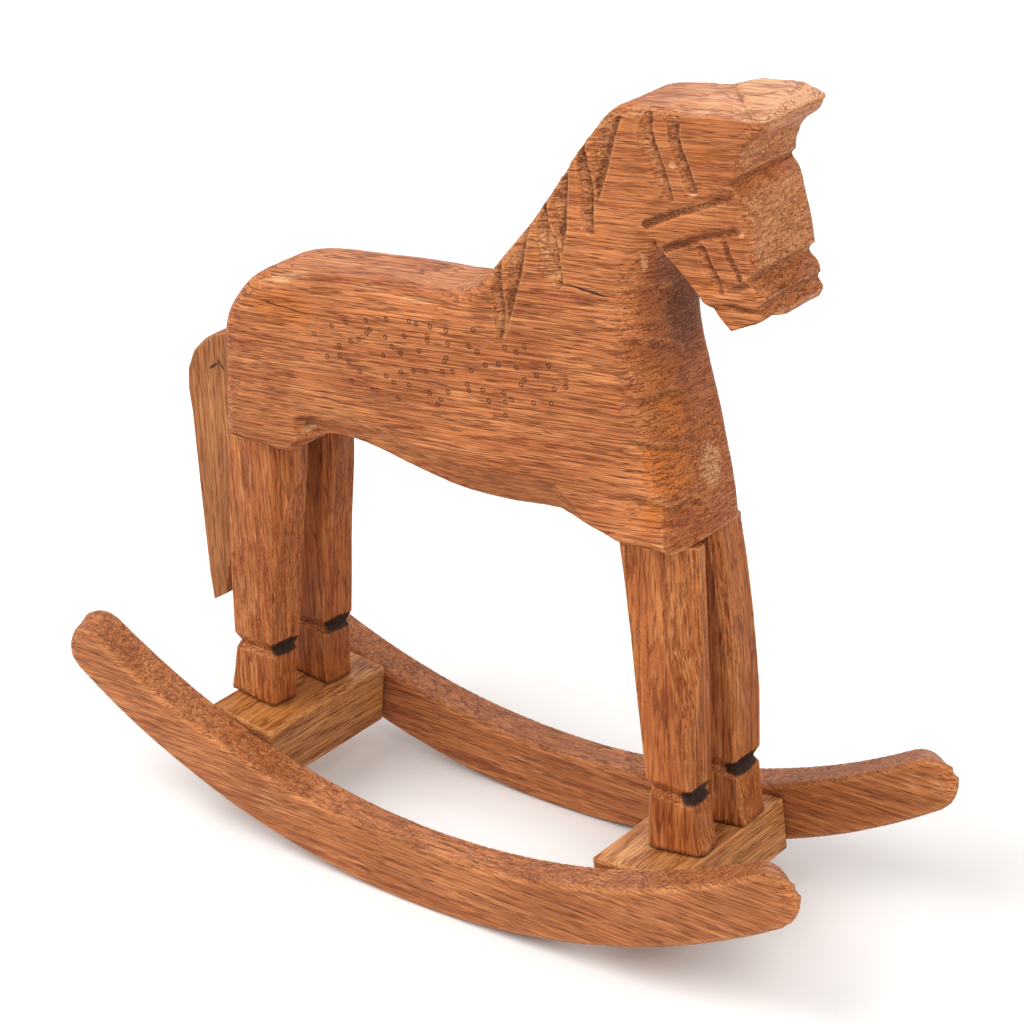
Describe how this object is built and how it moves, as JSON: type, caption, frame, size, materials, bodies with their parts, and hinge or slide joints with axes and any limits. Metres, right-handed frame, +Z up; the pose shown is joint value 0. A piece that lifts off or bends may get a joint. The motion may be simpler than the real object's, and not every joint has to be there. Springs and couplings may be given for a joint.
{
  "type": "rocking horse figurine",
  "caption": "Hand-carved wooden rocking horse figurine: a horse cut from one plank, with glued legs and tail, standing on cross blocks between bowed rockers.",
  "frame": {"origin": "on the ground, under the middle of the whole figurine's length and width; the rockers touch the ground there", "axes": "+X the way the horse faces, along the rockers; +Y the horse's left side; +Z up"},
  "size_m": [0.2494, 0.0742, 0.2236],
  "materials": {
    "stained_wood": "hand-carved hardwood, reddish brown stain, satin",
    "pale_wood": "sawn hardwood, thin honey brown stain, satin",
    "rocker_wood": "sawn hardwood, reddish brown stain, satin"
  },
  "bodies": {
    "root": {"horse_body": "stained_wood", "rear_right_leg": "stained_wood", "rear_left_leg": "stained_wood", "front_right_leg": "stained_wood", "front_left_leg": "stained_wood", "tail": "pale_wood", "rear_cross_block": "pale_wood", "front_cross_block": "pale_wood", "right_rocker": "rocker_wood", "left_rocker": "rocker_wood"}
  },
  "joints": []
}
